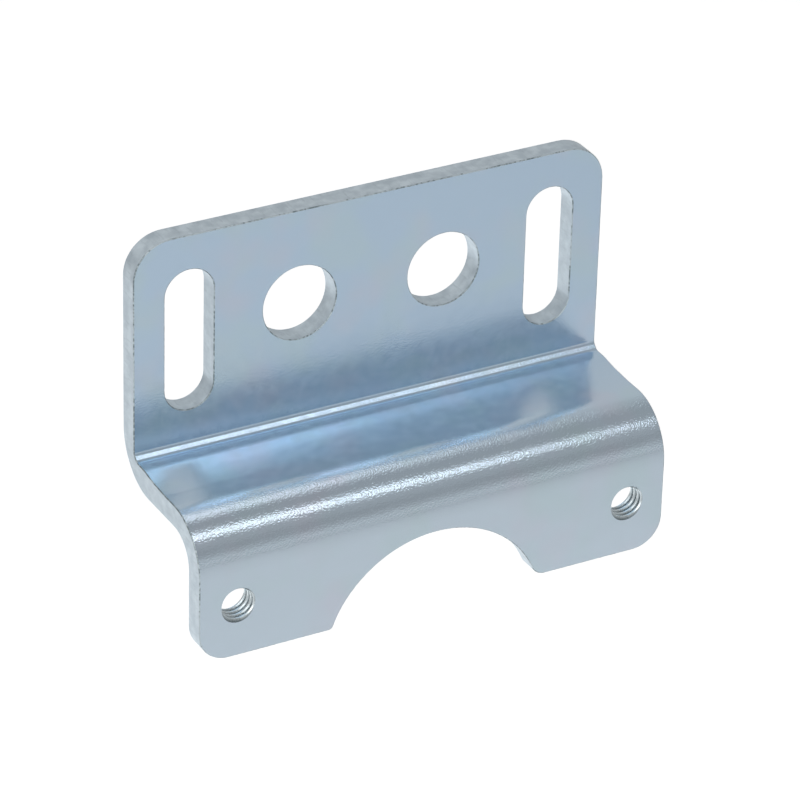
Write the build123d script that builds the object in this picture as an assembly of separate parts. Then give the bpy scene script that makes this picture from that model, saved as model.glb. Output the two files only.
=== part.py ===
from build123d import *
import os

# Offset (Z-shaped) bracket, blanked, pierced and folded from one strip of sheet steel.
# +Z is up and +Y points at the surface that the bracket is screwed to.
# The origin lies on the rear face of the upper plate, midway between the two round holes.

# ---- Driving dimensions, in millimetres ----
sheet_thickness = 3.0
plate_width = 65.0
front_offset = 18.0          # from the front face of the upper plate to that of the lower plate
bend_inner_radius = 4.0      # on the hollow side of both folds
edge_rounding = 0.2          # on the front rim of everything that the press cuts

holes_to_top = 12.7          # from the line of the round holes up to the top edge
holes_to_shelf = 17.0        # from the same line down to the upper face of the shelf
shelf_to_foot = 18.7         # from the upper face of the shelf down to the bottom edge
top_corner_radius = 5.0
foot_corner_radius = 4.0

round_hole_diameter = 10.0
round_hole_spacing = 20.0

slot_width = 6.6             # clears an M6 screw
slot_length = 19.2
slot_to_side = 7.5           # from the slot's centre line to the side edge beside it
slot_drop = 1.6              # slot centres below the line of the round holes

tapped_hole_diameter = 4.2   # tapping size of M5
tapped_hole_to_side = 5.25
tapped_hole_to_foot = 7.2

notch_radius = 15.2
notch_centre_drop = 5.0      # centre of the notch below the bottom edge
notch_lip_radius = 1.0       # where the notch runs out into the bottom edge

# ---- Sizes that follow from them ----
bend_outer_radius = bend_inner_radius + sheet_thickness
front_y = -sheet_thickness
foot_rear_y = -front_offset
foot_front_y = front_y - front_offset
shelf_top_z = -holes_to_shelf
shelf_underside_z = shelf_top_z - sheet_thickness
foot_z = shelf_top_z - shelf_to_foot
slot_spacing = plate_width - 2 * slot_to_side
tapped_hole_spacing = plate_width - 2 * tapped_hole_to_side


def profile_lines():
    """Front and rear sides of the folded sheet, drawn flat with Y to the right and Z up."""
    front = FilletPolyline(
        (front_y, holes_to_top),
        (front_y, shelf_top_z),
        (foot_front_y, shelf_top_z),
        (foot_front_y, foot_z),
        radius=[bend_inner_radius, bend_outer_radius],
    )
    rear = FilletPolyline(
        (0, holes_to_top),
        (0, shelf_underside_z),
        (foot_rear_y, shelf_underside_z),
        (foot_rear_y, foot_z),
        radius=[bend_outer_radius, bend_inner_radius],
    )
    return front, rear


def across_sheet(middle_y):
    """Plane along a plate, halfway through its sheet, with X along the plate and Z up."""
    return Plane((0, middle_y, 0), x_dir=(1, 0, 0), z_dir=(0, -1, 0))


def front_rims(part, front):
    """Edges between a cut face and the front side; the fold lines inside that side are left out."""

    def lies_on_front(edge):
        middle = edge @ 0.5
        return front.distance_to(Vertex(middle.Y, middle.Z, 0)) < edge_rounding / 10

    def is_fold_line(edge):
        runs_along_x = abs((edge % 0.5).X) > 0.999
        return runs_along_x and foot_z < (edge @ 0.5).Z < holes_to_top

    return part.edges().filter_by(lambda edge: lies_on_front(edge) and not is_fold_line(edge))


front_line, rear_line = profile_lines()

with BuildPart() as bracket:
    # The folded strip, and the round corners of its two ends.
    with BuildSketch(Plane.YZ):
        with BuildLine():
            add(front_line)
            add(rear_line)
            Line(front_line @ 0, rear_line @ 0)
            Line(front_line @ 1, rear_line @ 1)
        make_face()
    extrude(amount=plate_width / 2, both=True)
    end_corners = bracket.edges().filter_by(Axis.Y).group_by(Axis.Z)
    fillet(end_corners[-1], top_corner_radius)
    fillet(end_corners[0], foot_corner_radius)

    # Round holes and upright slots through the upper plate.
    with BuildSketch(across_sheet(front_y / 2)):
        with GridLocations(round_hole_spacing, 0, 2, 1):
            Circle(round_hole_diameter / 2)
        with Locations((0, -slot_drop)):
            with GridLocations(slot_spacing, 0, 2, 1):
                SlotOverall(slot_length, slot_width, rotation=90)
    extrude(amount=sheet_thickness, both=True, mode=Mode.SUBTRACT)

    # The arched notch in the bottom edge of the lower plate.
    with BuildSketch(across_sheet(foot_rear_y + front_y / 2)):
        with Locations((0, foot_z - notch_centre_drop)):
            Circle(notch_radius)
    extrude(amount=sheet_thickness, both=True, mode=Mode.SUBTRACT)
    notch_lips = bracket.edges().filter_by(Axis.Y).group_by(Axis.Z)[0].sort_by(Axis.X)[1:-1]
    fillet(notch_lips, notch_lip_radius)

    fillet(front_rims(bracket, front_line), edge_rounding)

    # The tapped holes are drilled, so their rims are left as they are.
    with BuildSketch(across_sheet(foot_rear_y + front_y / 2)):
        with Locations((0, foot_z + tapped_hole_to_foot)):
            with GridLocations(tapped_hole_spacing, 0, 2, 1):
                Circle(tapped_hole_diameter / 2)
    extrude(amount=sheet_thickness, both=True, mode=Mode.SUBTRACT)

os.makedirs("parts", exist_ok=True)
export_step(bracket.part, "parts/bracket.step")
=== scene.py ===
import bpy
import math
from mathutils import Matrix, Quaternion, Vector


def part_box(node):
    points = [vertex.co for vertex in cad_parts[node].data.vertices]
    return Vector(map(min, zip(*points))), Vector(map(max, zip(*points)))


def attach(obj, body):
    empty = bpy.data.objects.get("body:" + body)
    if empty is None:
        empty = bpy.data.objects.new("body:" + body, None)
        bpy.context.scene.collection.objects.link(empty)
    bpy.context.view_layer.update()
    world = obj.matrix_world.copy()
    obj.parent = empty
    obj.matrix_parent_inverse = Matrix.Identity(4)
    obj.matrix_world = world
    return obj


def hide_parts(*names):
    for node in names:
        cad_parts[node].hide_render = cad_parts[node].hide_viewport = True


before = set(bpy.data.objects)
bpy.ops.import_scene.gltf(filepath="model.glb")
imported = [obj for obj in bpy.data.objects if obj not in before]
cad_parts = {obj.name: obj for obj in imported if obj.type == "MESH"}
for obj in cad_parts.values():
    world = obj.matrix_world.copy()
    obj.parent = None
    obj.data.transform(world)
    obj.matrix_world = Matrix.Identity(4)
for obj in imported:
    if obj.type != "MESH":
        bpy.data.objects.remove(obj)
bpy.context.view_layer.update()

# The bracket: one strip of 3 mm cold-rolled steel sheet, blanked and pierced in a press and folded
# twice, down, forward and down again. Its side view is drawn with one travelling point and widened
# to the strip; then its ends are rounded, and the punches and taps go through it.
MM = 0.001
sheet = 3.0 * MM
fold_inner_radius = 4.0 * MM
fold_outer_radius = fold_inner_radius + sheet
shelf_top = -17.0 * MM
top_corner_radius = 5.0 * MM
foot_corner_radius = 4.0 * MM
fold_steps = 32
tiny = 0.005 * MM
left_side, foot_front, foot_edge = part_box("bracket")[0]
right_side, rear_face, top_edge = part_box("bracket")[1]
upper_front = rear_face - sheet
lower_rear = foot_front + sheet
upper_fold = Vector((0, upper_front - fold_inner_radius, shelf_top + fold_inner_radius))
lower_fold = Vector((0, foot_front + fold_outer_radius, shelf_top - fold_outer_radius))


def pick(piece, kind, wanted):
    """Opens the piece for editing, with only its wanted vertices, edges or faces selected."""
    if bpy.context.mode != "OBJECT":
        bpy.ops.object.mode_set(mode="OBJECT")
    bpy.ops.object.select_all(action="DESELECT")
    bpy.context.view_layer.objects.active = piece
    piece.select_set(True)
    bpy.ops.object.mode_set(mode="EDIT")
    bpy.ops.mesh.select_mode(type=kind)
    bpy.ops.mesh.select_all(action="DESELECT")
    bpy.ops.object.mode_set(mode="OBJECT")
    items = {"VERT": piece.data.vertices, "EDGE": piece.data.edges, "FACE": piece.data.polygons}[kind]
    for item in items:
        item.select = wanted(item)
    bpy.ops.object.mode_set(mode="EDIT")


def ends(edge):
    """Where the two ends of an edge of the bracket are."""
    first, second = edge.vertices
    return bracket.data.vertices[first].co, bracket.data.vertices[second].co


def extrude(x=0.0, y=0.0, z=0.0):
    """Draws on from what is selected, by that much along each axis."""
    bpy.ops.mesh.extrude_region_move(TRANSFORM_OT_translate={"value": (x, y, z)})


def swing(centre, angle):
    """Carries the point round a fold."""
    middle = (left_side, centre.y, centre.z)
    bpy.ops.mesh.spin(steps=fold_steps, angle=angle, center=middle, axis=(1, 0, 0))


bpy.ops.object.select_all(action="DESELECT")
bpy.ops.mesh.primitive_plane_add(size=MM, location=(left_side, upper_front, top_edge))
bracket = bpy.context.object
bracket.name = "bracket_sheet"
bpy.ops.object.transform_apply(location=True, rotation=True, scale=True)
pick(bracket, "VERT", lambda vertex: True)
bpy.ops.mesh.merge(type="CENTER")
# The nose of the folding punch left a narrow flat in the corner under the upper plate, with a
# level track beside it and a shallow run-out on the shelf. Each pair is a step forward and down.
punch_flat = 0.75 * MM
crease_width = 0.3 * MM
punch_nose = (
    (punch_flat, punch_flat), (1.65 * MM, 0.02 * MM), (0.4 * MM, 0.03 * MM),
    (1.1 * MM, 0.16 * MM), (1.45 * MM, 0.18 * MM), (3.0 * MM, 0.17 * MM),
)
flat_start = shelf_top + sum(down for forward, down in punch_nose)
shelf_start = upper_front - sum(forward for forward, down in punch_nose)
extrude(z=flat_start - top_edge)
for forward, down in punch_nose:
    extrude(y=-forward, z=-down)
extrude(y=lower_fold.y - shelf_start)
swing(lower_fold, -math.pi / 2)
extrude(z=foot_edge - lower_fold.z)
extrude(y=sheet)
extrude(z=lower_fold.z - foot_edge)
swing(lower_fold, math.pi / 2)
extrude(y=upper_fold.y - lower_fold.y)
swing(upper_fold, -math.pi / 2)
extrude(z=top_edge - upper_fold.z)
bpy.ops.mesh.select_all(action="SELECT")
bpy.ops.mesh.remove_doubles(threshold=tiny)
bpy.ops.mesh.edge_face_add()
extrude(x=right_side - left_side)
bpy.ops.mesh.select_all(action="SELECT")
bpy.ops.mesh.normals_make_consistent(inside=False)


def is_crease(edge):
    """True for the two edges along the fold where the punch flat turns most."""
    first, second = ends(edge)
    along = abs(first.x - second.x) > sheet
    on_front = upper_front - 2 * punch_flat < first.y < upper_front + tiny
    return along and on_front and shelf_top < first.z < flat_start + tiny


pick(bracket, "EDGE", is_crease)
bpy.ops.mesh.bevel(offset=crease_width, segments=5, affect="EDGES", clamp_overlap=False)


def is_end_corner(edge, level):
    """True for the short edges that run through the sheet at that level."""
    first, second = ends(edge)
    at_level = abs(first.z - level) < tiny and abs(second.z - level) < tiny
    return at_level and abs(first.y - second.y) > sheet / 2


for level, radius in ((top_edge, top_corner_radius), (foot_edge, foot_corner_radius)):
    pick(bracket, "EDGE", lambda edge: is_end_corner(edge, level))
    bpy.ops.mesh.bevel(offset=radius, segments=20, affect="EDGES", clamp_overlap=False)
bpy.ops.object.mode_set(mode="OBJECT")

# The finish: bright zinc plate with a pale blue passivation, on the smooth face of the sheet. It
# gives a soft metallic mirror with a fine grain and faint cloudy tints. The sheared walls took the
# same plating on a torn surface, so they are duller and greyer, and the burr along their front rim
# is dark.


def srgb(hex_colour):
    """Linear colour of an sRGB hex value."""
    parts = [int(hex_colour[i : i + 2], 16) / 255 for i in (1, 3, 5)]
    linear = [part / 12.92 if part <= 0.04045 else ((part + 0.055) / 1.055) ** 2.4 for part in parts]
    return (*linear, 1.0)


def add_node(tree, kind, output=None, settings=None, inputs=None):
    """Adds a node and returns it, or the output asked for. An input takes a value or a socket."""
    node = tree.nodes.new(kind)
    for name, value in (settings or {}).items():
        setattr(node, name, value)
    for name, value in (inputs or {}).items():
        if isinstance(value, bpy.types.NodeSocket):
            tree.links.new(value, node.inputs[name])
        else:
            node.inputs[name].default_value = value
    return node.outputs[output] if output else node


def new_material(name):
    """A metal with its shader, and the tree to build it up in."""
    material = bpy.data.materials.new(name)
    material.use_nodes = True
    tree = material.node_tree
    shader = tree.nodes["Principled BSDF"]
    shader.inputs["Metallic"].default_value = 1.0
    return material, tree, shader


# Smooth sheet: the tint drifts from a cooler blue above to a more neutral one below, with pinkish
# and greenish clouds where the passivation runs thin. The rolled grain is 0.1 to 0.2 mm in real sheet
# and is drawn at 0.22 mm so that it shows, coarser where the outer fold is stretched. Slow waves of
# 9 mm lie under it, and the folding punch dished the shelf beside the fold, more so to the left.
cloud_size = 8 * MM
dull_patch_size = 1.5 * MM
wave_size = 9 * MM
wave_height = 0.05 * MM
grain_size = 0.22 * MM
grain_height = 0.026 * MM
dish_front = -11.5 * MM
dish_rear = -6 * MM
dish_right_end = 4 * MM
dish_depth = 0.44
zinc_face, tree, shader = new_material("zinc_plate_on_smooth_sheet")
place = add_node(tree, "ShaderNodeTexCoord", "Object")
axes = add_node(tree, "ShaderNodeSeparateXYZ", inputs={"Vector": place}).outputs
higher = add_node(
    tree, "ShaderNodeMapRange", "Result",
    inputs={"Value": axes["Y"], "From Min": foot_front, "From Max": upper_front},
)
tint = add_node(
    tree, "ShaderNodeMix", "Result", {"data_type": "RGBA"},
    {"Factor": higher, "A": srgb("#D7E7F4"), "B": srgb("#CCE3F8")},
)
elsewhere = add_node(
    tree, "ShaderNodeVectorMath", "Vector", {"operation": "ADD"}, {0: place, 1: (0.1, 0, 0)}
)
for spot, thin, thick, share, cloud_tint in (
    (place, 0.5, 0.7, 0.5, "#DCE0EF"), (elsewhere, 0.48, 0.66, 0.45, "#D0E7ED"),
):
    clouds = add_node(
        tree, "ShaderNodeTexNoise", "Fac", inputs={"Vector": spot, "Scale": 1 / cloud_size}
    )
    cover = add_node(
        tree, "ShaderNodeMapRange", "Result",
        inputs={"Value": clouds, "From Min": thin, "From Max": thick, "To Max": share},
    )
    tint = add_node(
        tree, "ShaderNodeMix", "Result", {"data_type": "RGBA"},
        {"Factor": cover, "A": tint, "B": srgb(cloud_tint)},
    )
tree.links.new(tint, shader.inputs["Base Color"])
across = add_node(
    tree, "ShaderNodeCombineXYZ", "Vector", inputs={"Y": axes["Y"], "Z": axes["Z"]}
)
from_corner = add_node(
    tree, "ShaderNodeVectorMath", "Value", {"operation": "DISTANCE"},
    {0: across, 1: (0, foot_front, shelf_top)},
)
stretched = add_node(
    tree, "ShaderNodeMapRange", "Result",
    inputs={"Value": from_corner, "From Min": 7.5 * MM, "From Max": 5 * MM},
)
patches = add_node(
    tree, "ShaderNodeTexNoise", "Fac",
    inputs={"Vector": place, "Scale": 1 / dull_patch_size, "Detail": 3},
)
cloudy = add_node(
    tree, "ShaderNodeMapRange", "Result",
    inputs={"Value": patches, "From Min": 0.3, "From Max": 0.7, "To Min": 0.18, "To Max": 0.26},
)
polish = add_node(
    tree, "ShaderNodeMath", "Value", {"operation": "MULTIPLY_ADD"},
    {0: stretched, 1: -0.07, 2: cloudy},
)
tree.links.new(polish, shader.inputs["Roughness"])
rise = add_node(
    tree, "ShaderNodeMapRange", "Result",
    inputs={"Value": axes["Y"], "From Min": dish_front, "From Max": dish_rear},
)
rise = add_node(tree, "ShaderNodeMath", "Value", {"operation": "POWER"}, {0: rise, 1: 1.3})
leftwards = add_node(
    tree, "ShaderNodeMapRange", "Result",
    inputs={
        "Value": axes["X"], "From Min": left_side, "From Max": dish_right_end,
        "To Min": dish_depth, "To Max": 0,
    },
)
behind = add_node(
    tree, "ShaderNodeMath", "Value", {"operation": "SUBTRACT"}, {0: axes["Y"], 1: upper_front}
)
beneath = add_node(
    tree, "ShaderNodeMath", "Value", {"operation": "SUBTRACT"}, {0: shelf_top, 1: axes["Z"]}
)
inside = add_node(tree, "ShaderNodeMath", "Value", {"operation": "MAXIMUM"}, {0: behind, 1: beneath})
on_front = add_node(
    tree, "ShaderNodeMapRange", "Result",
    inputs={"Value": inside, "From Min": 0.1 * MM, "From Max": 0.8 * MM, "To Min": 1, "To Max": 0},
)
depth = add_node(
    tree, "ShaderNodeMath", "Value", {"operation": "MULTIPLY"}, {0: on_front, 1: leftwards}
)
dish = add_node(tree, "ShaderNodeMath", "Value", {"operation": "MULTIPLY"}, {0: rise, 1: depth})
waves = add_node(
    tree, "ShaderNodeTexNoise", "Fac", inputs={"Vector": place, "Scale": 1 / wave_size, "Detail": 1}
)
grain = add_node(
    tree, "ShaderNodeTexNoise", "Fac", inputs={"Vector": place, "Scale": 1 / grain_size, "Detail": 1}
)
coarse = add_node(tree, "ShaderNodeMapRange", "Result", inputs={"Value": stretched, "To Min": 0.3})
bumps = add_node(
    tree, "ShaderNodeBump", "Normal", inputs={"Strength": 1, "Distance": 1 * MM, "Height": dish}
)
bumps = add_node(
    tree, "ShaderNodeBump", "Normal",
    inputs={"Strength": 1, "Distance": wave_height, "Height": waves, "Normal": bumps},
)
bumps = add_node(
    tree, "ShaderNodeBump", "Normal",
    inputs={"Strength": coarse, "Distance": grain_height, "Height": grain, "Normal": bumps},
)
tree.links.new(bumps, shader.inputs["Normal"])

# Sheared wall: streaks of 0.35 mm that run through the sheet, dull where the steel tore.
streak_size = 0.35 * MM
streak_depth = 0.02 * MM
blotch_size = 1.6 * MM
zinc_edge, tree, shader = new_material("zinc_plate_on_sheared_wall")
place = add_node(tree, "ShaderNodeTexCoord", "Object")
drawn_out = add_node(
    tree, "ShaderNodeVectorMath", "Vector", {"operation": "MULTIPLY"}, {0: place, 1: (1, 0.15, 1)}
)
streaks = add_node(
    tree, "ShaderNodeTexNoise", "Fac",
    inputs={"Vector": drawn_out, "Scale": 1 / streak_size, "Detail": 3, "Roughness": 0.6},
)
blotches = add_node(
    tree, "ShaderNodeTexNoise", "Fac",
    inputs={"Vector": place, "Scale": 1 / blotch_size, "Detail": 3},
)
bright = add_node(
    tree, "ShaderNodeMapRange", "Result",
    inputs={"Value": blotches, "From Min": 0.35, "From Max": 0.65},
)
torn = add_node(
    tree, "ShaderNodeMix", "Result", {"data_type": "RGBA"},
    {"Factor": bright, "A": srgb("#C4D1DA"), "B": srgb("#DAE5EC")},
)
in_streak = add_node(
    tree, "ShaderNodeMapRange", "Result",
    inputs={"Value": streaks, "From Min": 0.3, "From Max": 0.45, "To Min": 0.35, "To Max": 0},
)
streaked = add_node(
    tree, "ShaderNodeMix", "Result", {"data_type": "RGBA"},
    {"Factor": in_streak, "A": torn, "B": srgb("#B0BDC5")},
)
tree.links.new(streaked, shader.inputs["Base Color"])
dullness = add_node(
    tree, "ShaderNodeMapRange", "Result",
    inputs={"Value": blotches, "From Min": 0.3, "From Max": 0.7, "To Min": 0.42, "To Max": 0.6},
)
tree.links.new(dullness, shader.inputs["Roughness"])
ridges = add_node(
    tree, "ShaderNodeBump", "Normal",
    inputs={"Strength": 1, "Distance": streak_depth, "Height": streaks},
)
tree.links.new(ridges, shader.inputs["Normal"])

# Cut thread: bright on the crests and darker down in the grooves, which is painted shade; patches of
# cutting oil vary its roughness. The tool left chatter marks of 0.25 mm.
tapped_hole_x = 27.25 * MM
tapped_hole_z = foot_edge + 7.2 * MM
chatter_size = 0.25 * MM
chatter_height = 0.006 * MM
oil_size = 0.3 * MM
zinc_thread, tree, shader = new_material("zinc_plate_on_cut_thread")
place = add_node(tree, "ShaderNodeTexCoord", "Object")
axes = add_node(tree, "ShaderNodeSeparateXYZ", inputs={"Vector": place}).outputs
from_middle = add_node(tree, "ShaderNodeMath", "Value", {"operation": "ABSOLUTE"}, {0: axes["X"]})
beside_hole = add_node(
    tree, "ShaderNodeCombineXYZ", "Vector", inputs={"X": from_middle, "Z": axes["Z"]}
)
from_axis = add_node(
    tree, "ShaderNodeVectorMath", "Value", {"operation": "DISTANCE"},
    {0: beside_hole, 1: (tapped_hole_x, 0, tapped_hole_z)},
)
groove = add_node(
    tree, "ShaderNodeMapRange", "Result",
    inputs={"Value": from_axis, "From Min": 2.12 * MM, "From Max": 2.4 * MM},
)
# Painted shade: the colour darkens from the crests down into the grooves.
groove_shade_painted = add_node(
    tree, "ShaderNodeMix", "Result", {"data_type": "RGBA"},
    {"Factor": groove, "A": srgb("#DCE6EA"), "B": srgb("#8F9CA2")},
)
tree.links.new(groove_shade_painted, shader.inputs["Base Color"])
oil = add_node(tree, "ShaderNodeTexNoise", "Fac", inputs={"Vector": place, "Scale": 1 / oil_size})
wet = add_node(
    tree, "ShaderNodeMapRange", "Result",
    inputs={"Value": oil, "From Min": 0.3, "From Max": 0.7, "To Min": 0.2, "To Max": 0.4},
)
tree.links.new(wet, shader.inputs["Roughness"])
chatter = add_node(
    tree, "ShaderNodeTexNoise", "Fac", inputs={"Vector": place, "Scale": 1 / chatter_size}
)
marks = add_node(
    tree, "ShaderNodeBump", "Normal",
    inputs={"Strength": 1, "Distance": chatter_height, "Height": chatter},
)
tree.links.new(marks, shader.inputs["Normal"])

# Burr: the ragged front rim of the sheared walls, coloured dark in specks of about 0.5 mm and lighter
# in patches of about 7 mm.
speck_size = 0.5 * MM
speck_height = 0.03 * MM
light_patch_size = 7 * MM
zinc_burr, tree, shader = new_material("zinc_plate_on_burr")
place = add_node(tree, "ShaderNodeTexCoord", "Object")
specks = add_node(
    tree, "ShaderNodeTexNoise", "Fac",
    inputs={"Vector": place, "Scale": 1 / speck_size, "Detail": 3, "Roughness": 0.6},
)
patches = add_node(
    tree, "ShaderNodeTexNoise", "Fac", inputs={"Vector": place, "Scale": 1 / light_patch_size}
)
lighter_patches = add_node(
    tree, "ShaderNodeMapRange", "Result",
    inputs={"Value": patches, "From Min": 0.4, "From Max": 0.6, "To Min": -0.05, "To Max": 0.15},
)
paleness = add_node(tree, "ShaderNodeMath", "Value", {"operation": "ADD"}, {0: specks, 1: lighter_patches})
paleness = add_node(
    tree, "ShaderNodeMapRange", "Result", inputs={"Value": paleness, "From Min": 0.42, "From Max": 0.6}
)
ragged = add_node(
    tree, "ShaderNodeMix", "Result", {"data_type": "RGBA"},
    {"Factor": paleness, "A": srgb("#8A979D"), "B": srgb("#CAD6DC")},
)
tree.links.new(ragged, shader.inputs["Base Color"])
dullness = add_node(
    tree, "ShaderNodeMapRange", "Result",
    inputs={"Value": specks, "From Min": 0.3, "From Max": 0.7, "To Min": 0.65, "To Max": 0.4},
)
tree.links.new(dullness, shader.inputs["Roughness"])
lumps = add_node(
    tree, "ShaderNodeBump", "Normal",
    inputs={"Strength": 1, "Distance": speck_height, "Height": specks},
)
tree.links.new(lumps, shader.inputs["Normal"])

for material in (zinc_face, zinc_edge, zinc_thread, zinc_burr):
    bracket.data.materials.append(material)
FACE, EDGE, THREAD, BURR = range(4)


def depth_in_sheet(point):
    """How far a point lies behind the front side of the folded sheet."""
    from_upper_fold = math.hypot(point.y - upper_fold.y, point.z - upper_fold.z)
    from_lower_fold = math.hypot(point.y - lower_fold.y, point.z - lower_fold.z)
    if point.z >= upper_fold.z:
        return point.y - upper_front
    if point.y >= upper_fold.y:
        return from_upper_fold - fold_inner_radius
    if point.y >= lower_fold.y:
        return shelf_top - point.z
    if point.z >= lower_fold.z:
        return fold_outer_radius - from_lower_fold
    return point.y - foot_front


def is_cut_wall(face):
    """True for the faces that cross the sheet, from its front side to its rear."""
    depths = [depth_in_sheet(bracket.data.vertices[i].co) for i in face.vertices]
    return max(depths) - min(depths) > sheet / 2


for face in bracket.data.polygons:
    face.material_index = EDGE if is_cut_wall(face) else FACE


def make_tool(tool, material_index):
    """Gives a tool the bracket's finishes, all of it in one of them, and sound outward normals."""
    if bpy.context.mode != "OBJECT":
        bpy.ops.object.mode_set(mode="OBJECT")
    bpy.ops.object.transform_apply(location=True, rotation=True, scale=True)
    for material in bracket.data.materials:
        tool.data.materials.append(material)
    pick(tool, "FACE", lambda face: True)
    bpy.ops.mesh.normals_make_consistent(inside=False)
    bpy.ops.object.mode_set(mode="OBJECT")
    for face in tool.data.polygons:
        face.material_index = material_index
    return tool


def drive_through(tool):
    """Cuts the tool out of the bracket and throws the tool away."""
    bpy.ops.object.select_all(action="DESELECT")
    bpy.context.view_layer.objects.active = bracket
    bracket.select_set(True)
    cut = bracket.modifiers.new("cut", "BOOLEAN")
    cut.operation = "DIFFERENCE"
    cut.solver = "EXACT"
    cut.object = tool
    bpy.ops.object.modifier_apply(modifier=cut.name)
    bpy.data.objects.remove(tool)


# The punches: two round, two slotted, and one that arches the notch out of the bottom edge. Each is
# a solid tool, and its own finish becomes that of the sheared wall it leaves.
round_hole_radius = 5.0 * MM
round_hole_x = 10.0 * MM
slot_radius = 3.3 * MM
slot_length = 19.2 * MM
slot_centre = -1.6 * MM
slot_x = 25.0 * MM
notch_radius = 15.2 * MM
notch_centre = Vector((0, 0, foot_edge - 5.0 * MM))
left_lip_radius = 0.7 * MM
right_lip_radius = 2.0 * MM


def round_punch(x):
    """A cylinder through the upper plate."""
    bpy.ops.mesh.primitive_cylinder_add(
        vertices=96, radius=round_hole_radius, depth=3 * sheet,
        location=(x, upper_front, 0), rotation=(math.pi / 2, 0, 0),
    )
    return make_tool(bpy.context.object, EDGE)


def slot_punch(x):
    """A block whose four upright edges are rounded until its ends are half circles."""
    bpy.ops.mesh.primitive_cube_add(
        size=1, location=(x, upper_front, slot_centre), scale=(2 * slot_radius, 3 * sheet, slot_length)
    )
    punch = bpy.context.object
    bpy.ops.object.transform_apply(location=True, rotation=True, scale=True)

    def runs_through(edge):
        first, second = (punch.data.vertices[i].co for i in edge.vertices)
        return abs(first.y - second.y) > sheet

    pick(punch, "EDGE", runs_through)
    bpy.ops.mesh.bevel(offset=slot_radius - tiny, segments=20, affect="EDGES", clamp_overlap=False)
    return make_tool(punch, EDGE)


def lip_reach(radius):
    """How far out a lip of that radius is centred, and its angle as seen from the arch's centre."""
    reach = notch_radius + radius
    rise = radius - (notch_centre.z - foot_edge)
    return math.sqrt(reach**2 - rise**2), math.asin(rise / reach)


def notch_punch():
    """An arch, drawn by swinging one point round three centres and thickened through the sheet."""
    left_x, left_dip = lip_reach(left_lip_radius)
    right_x, right_dip = lip_reach(right_lip_radius)
    start = foot_front - sheet
    bpy.ops.mesh.primitive_plane_add(size=MM, location=(-left_x, start, foot_edge))
    punch = bpy.context.object
    bpy.ops.object.transform_apply(location=True, rotation=True, scale=True)
    pick(punch, "VERT", lambda vertex: True)
    bpy.ops.mesh.merge(type="CENTER")
    for centre_x, centre_z, turn, steps in (
        (-left_x, foot_edge + left_lip_radius, math.pi / 2 - left_dip, 8),
        (0, notch_centre.z, left_dip + right_dip - math.pi, 96),
        (right_x, foot_edge + right_lip_radius, math.pi / 2 - right_dip, 12),
    ):
        middle = (centre_x, start, centre_z)
        bpy.ops.mesh.spin(steps=steps, angle=turn, center=middle, axis=(0, 1, 0))
    extrude(z=-sheet)
    extrude(x=-left_x - right_x)
    bpy.ops.mesh.select_all(action="SELECT")
    bpy.ops.mesh.edge_face_add()
    extrude(y=3 * sheet)
    return make_tool(punch, EDGE)


for side in (-1, 1):
    bpy.ops.object.select_all(action="DESELECT")
    drive_through(round_punch(side * round_hole_x))
    bpy.ops.object.select_all(action="DESELECT")
    drive_through(slot_punch(side * slot_x))
bpy.ops.object.select_all(action="DESELECT")
drive_through(notch_punch())

# The tapped holes: drilled to 4.2 mm and cut with an M5 tap of 0.8 mm pitch. The tap is a ridged
# thread surface, one turn swept up by a pitch, with closed ends.
tap_minor_radius = 2.1 * MM
tap_major_radius = 2.5 * MM
tap_pitch = 0.8 * MM
tap_crest = 0.1 * MM
tap_turns = 6
chamfer_radius = 2.28 * MM


def tap(x):
    """The tap, standing in its hole along Y."""
    flank = (tap_major_radius - tap_minor_radius) * math.tan(math.radians(30))
    land = tap_pitch - 2 * flank - tap_crest
    bpy.ops.mesh.primitive_plane_add(size=MM)
    tool = bpy.context.object
    pick(tool, "VERT", lambda vertex: True)
    bpy.ops.mesh.merge(type="CENTER")
    start = -(tap_turns + 1) / 2 * tap_pitch
    bpy.ops.transform.translate(value=(tap_minor_radius, 0, start))
    for _ in range(tap_turns):
        extrude(z=land)
        extrude(x=tap_major_radius - tap_minor_radius, z=flank)
        extrude(z=tap_crest)
        extrude(x=tap_minor_radius - tap_major_radius, z=flank)
    bpy.ops.object.mode_set(mode="OBJECT")
    sweep = tool.modifiers.new("sweep", "SCREW")
    sweep.screw_offset = tap_pitch
    sweep.steps = 48
    sweep.render_steps = 48
    sweep.use_smooth_shade = False
    bpy.ops.object.modifier_apply(modifier=sweep.name)
    pick(tool, "VERT", lambda vertex: True)
    bpy.ops.mesh.remove_doubles(threshold=tiny / 5)
    bpy.ops.mesh.select_all(action="DESELECT")
    bpy.ops.mesh.select_mode(type="EDGE")
    bpy.ops.mesh.select_non_manifold()
    bpy.ops.mesh.extrude_edges_move()
    bpy.ops.mesh.merge(type="COLLAPSE")
    bpy.ops.object.mode_set(mode="OBJECT")
    tool.location = (x, foot_front + sheet / 2, tapped_hole_z)
    tool.rotation_euler = (math.pi / 2, 0, 0)
    return make_tool(tool, THREAD)


def countersink(x, face_y, outward):
    """A short cone that breaks the first thread at one side of the sheet."""
    depth = 2 * (chamfer_radius - tap_minor_radius)
    bpy.ops.mesh.primitive_cone_add(
        vertices=48, radius1=tap_minor_radius, radius2=tap_minor_radius + depth, depth=depth,
        location=(x, face_y, tapped_hole_z), rotation=(math.pi / 2 * -outward, 0, 0),
    )
    return make_tool(bpy.context.object, THREAD)


for side in (-1, 1):
    for face_y, outward in ((foot_front, -1), (lower_rear, 1)):
        bpy.ops.object.select_all(action="DESELECT")
        drive_through(countersink(side * tapped_hole_x, face_y, outward))
bpy.ops.object.select_all(action="DESELECT")
left_tap = tap(-tapped_hole_x)
bpy.ops.object.select_all(action="DESELECT")
taps = tap(tapped_hole_x)
left_tap.select_set(True)
bpy.ops.object.join()
drive_through(taps)

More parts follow.
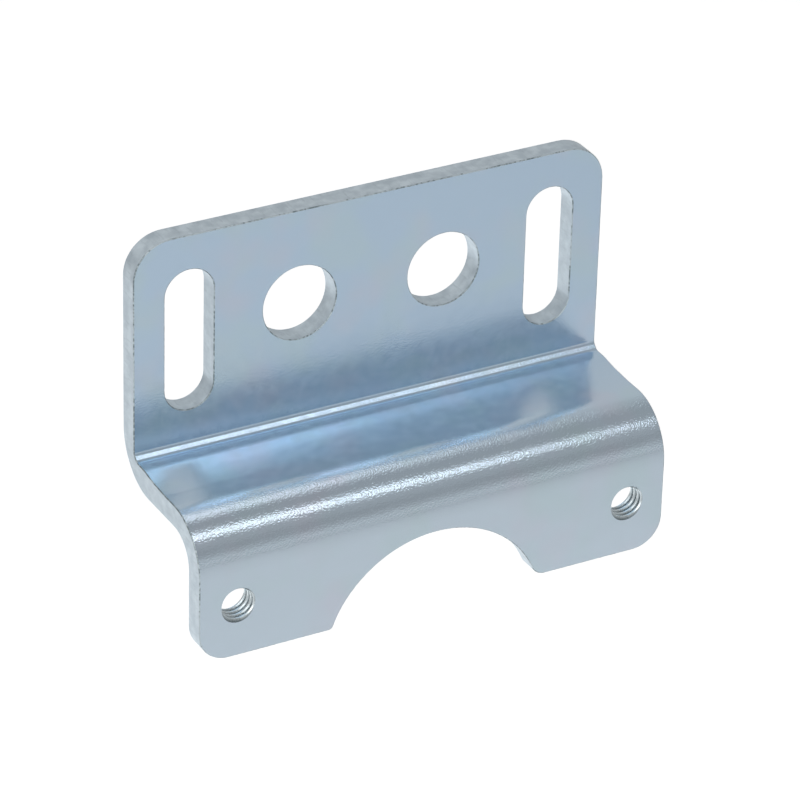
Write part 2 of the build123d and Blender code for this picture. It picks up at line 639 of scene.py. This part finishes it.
# The cut walls meet the front side in a ragged burr and roll over softly into the rear side.
burr_width = 0.13 * MM
rear_roll = 0.2 * MM


def round_rims(wanted, radius, segments, finish):
    """Rounds those rims of the cut walls whose ends lie at a wanted depth in the sheet."""
    pick(bracket, "FACE", lambda face: face.material_index == EDGE)
    bpy.ops.mesh.region_to_loop()
    bpy.ops.object.mode_set(mode="OBJECT")
    rims = {
        edge.index for edge in bracket.data.edges
        if edge.select and all(wanted(depth_in_sheet(end)) for end in ends(edge))
    }
    pick(bracket, "EDGE", lambda edge: edge.index in rims)
    bpy.ops.mesh.bevel(
        offset=radius, segments=segments, affect="EDGES", clamp_overlap=False, material=finish
    )
    bpy.ops.object.mode_set(mode="OBJECT")


round_rims(lambda depth: depth > sheet / 2, rear_roll, 3, EDGE)
round_rims(lambda depth: depth < sheet / 2, burr_width, 2, BURR)

# Flat sides stay flat and rolled rims look round: the shading follows the larger faces.
bpy.ops.object.select_all(action="DESELECT")
bracket.select_set(True)
bpy.context.view_layer.objects.active = bracket
bpy.ops.object.shade_smooth_by_angle(angle=math.radians(35))
shading = bracket.modifiers.new("shading", "WEIGHTED_NORMAL")
shading.keep_sharp = True
bpy.ops.object.modifier_apply(modifier=shading.name)
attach(bracket, "root")
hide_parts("bracket")

# The stage: white paper, far enough below the bracket that its shadow falls soft and out of the
# way. Towards the back the paper glows, as a light table does, so that it is white behind the
# bracket.
floor_level = foot_edge - 100 * MM
window_middle = (107 * MM, 180 * MM, floor_level)
window_radius = 220 * MM
window_fade_end = 360 * MM
window_glow = 0.53
bpy.ops.object.select_all(action="DESELECT")
bpy.ops.mesh.primitive_plane_add(size=6, location=(0, 0, floor_level))
floor = bpy.context.object
floor.name = "floor"
bpy.ops.object.transform_apply(location=True, rotation=True, scale=True)
paper = bpy.data.materials.new("white_paper_over_light_table")
paper.use_nodes = True
tree = paper.node_tree
shader = tree.nodes["Principled BSDF"]
shader.inputs["Base Color"].default_value = srgb("#DEDEDE")
shader.inputs["Roughness"].default_value = 0.9
shader.inputs["Specular IOR Level"].default_value = 0.2
place = add_node(tree, "ShaderNodeTexCoord", "Object")
from_window = add_node(
    tree, "ShaderNodeVectorMath", "Value", {"operation": "DISTANCE"}, {0: place, 1: window_middle}
)
window = add_node(
    tree, "ShaderNodeMapRange", "Result", {"interpolation_type": "SMOOTHSTEP"},
    {
        "Value": from_window, "From Min": window_fade_end, "From Max": window_radius,
        "To Max": window_glow,
    },
)
ray = add_node(tree, "ShaderNodeLightPath").outputs
seen = ray["Is Camera Ray"]
for kind in ("Is Glossy Ray", "Is Transmission Ray"):
    seen = add_node(
        tree, "ShaderNodeMath", "Value", {"operation": "MAXIMUM"}, {0: seen, 1: ray[kind]}
    )
glow = add_node(tree, "ShaderNodeMath", "Value", {"operation": "MULTIPLY"}, {0: seen, 1: window})
shader.inputs["Emission Color"].default_value = (1, 1, 1, 1)
tree.links.new(glow, shader.inputs["Emission Strength"])
floor.data.materials.append(paper)

# The light: a grey studio that is brightest at the horizon and behind the bracket, two soft strips
# over the front that draw bright lines along the bends, and two broad softboxes from the left. The
# flat sides mirror neither of those two, which bring a matte card up to about its own colour.
back_level = 0.55
horizon_level = 0.60
front_levels = (
    (0.11, 0.53), (0.27, 0.37), (0.41, 0.33), (0.55, 0.42), (0.7, 0.38), (0.95, 0.36)
)
world = bpy.data.worlds.new("studio")
bpy.context.scene.world = world
world.use_nodes = True
tree = world.node_tree
place = add_node(tree, "ShaderNodeTexCoord", "Generated")
axes = add_node(tree, "ShaderNodeSeparateXYZ", inputs={"Vector": place}).outputs
front_wall = add_node(tree, "ShaderNodeValToRGB", inputs={"Fac": axes["Z"]})
stops = front_wall.color_ramp.elements
stops.remove(stops[1])
stops[0].color = (horizon_level, horizon_level, horizon_level, 1)
for height, level in front_levels:
    stops.new(height).color = (level, level, level, 1)
towards_back = add_node(
    tree, "ShaderNodeMapRange", "Result", {"interpolation_type": "SMOOTHSTEP"},
    {"Value": axes["Y"], "From Min": 0.1, "From Max": 0.6},
)
walls = add_node(
    tree, "ShaderNodeMix", "Result", {"data_type": "RGBA"},
    {
        "Factor": towards_back, "A": front_wall.outputs["Color"],
        "B": (back_level, back_level, back_level, 1),
    },
)
tree.links.new(walls, tree.nodes["Background"].inputs["Color"])


def softbox(name, place, aim, size_x, size_y, radiance):
    """A rectangular lamp of even brightness, turned to a point."""
    lamp = bpy.data.lights.new(name, "AREA")
    lamp.shape = "RECTANGLE"
    lamp.size = size_x
    lamp.size_y = size_y
    lamp.energy = radiance * math.pi * size_x * size_y
    lit = bpy.data.objects.new(name, lamp)
    bpy.context.scene.collection.objects.link(lit)
    lit.location = place
    lit.rotation_euler = (Vector(aim) - Vector(place)).to_track_quat("-Z", "Y").to_euler()


softbox("front_strip", (-0.04, -0.27, 0.38), (-0.04, -0.01, -0.01), 0.61, 0.085, 1.25)
softbox("top_strip", (-0.09, 0.08, 0.46), (-0.09, -0.01, -0.01), 0.63, 0.14, 0.62)
softbox("left_softbox", (-1.1, -0.6, 0.8), (0, -0.01, -0.01), 1.2, 1.2, 1.6)
softbox("front_left_softbox", (-0.9, -1.1, 0.6), (0, -0.01, -0.01), 1.6, 1.6, 1.5)

# The camera: a long lens, from the upper left of the front.
camera_data = bpy.data.cameras.new("camera")
camera_data.sensor_width = 36
camera_data.lens = 216.58
camera_data.clip_start = 10 * MM
camera = bpy.data.objects.new("camera", camera_data)
bpy.context.scene.collection.objects.link(camera)
camera.location = (-251.9 * MM, -459.6 * MM, 278.5 * MM)
sight = Vector((0.42617, 0.75932, -0.49175))
camera.rotation_mode = "QUATERNION"
camera.rotation_quaternion = Quaternion(sight, math.radians(-1.61)) @ sight.to_track_quat("-Z", "Y")
bpy.context.scene.camera = camera
bpy.context.scene.view_settings.view_transform = "Standard"
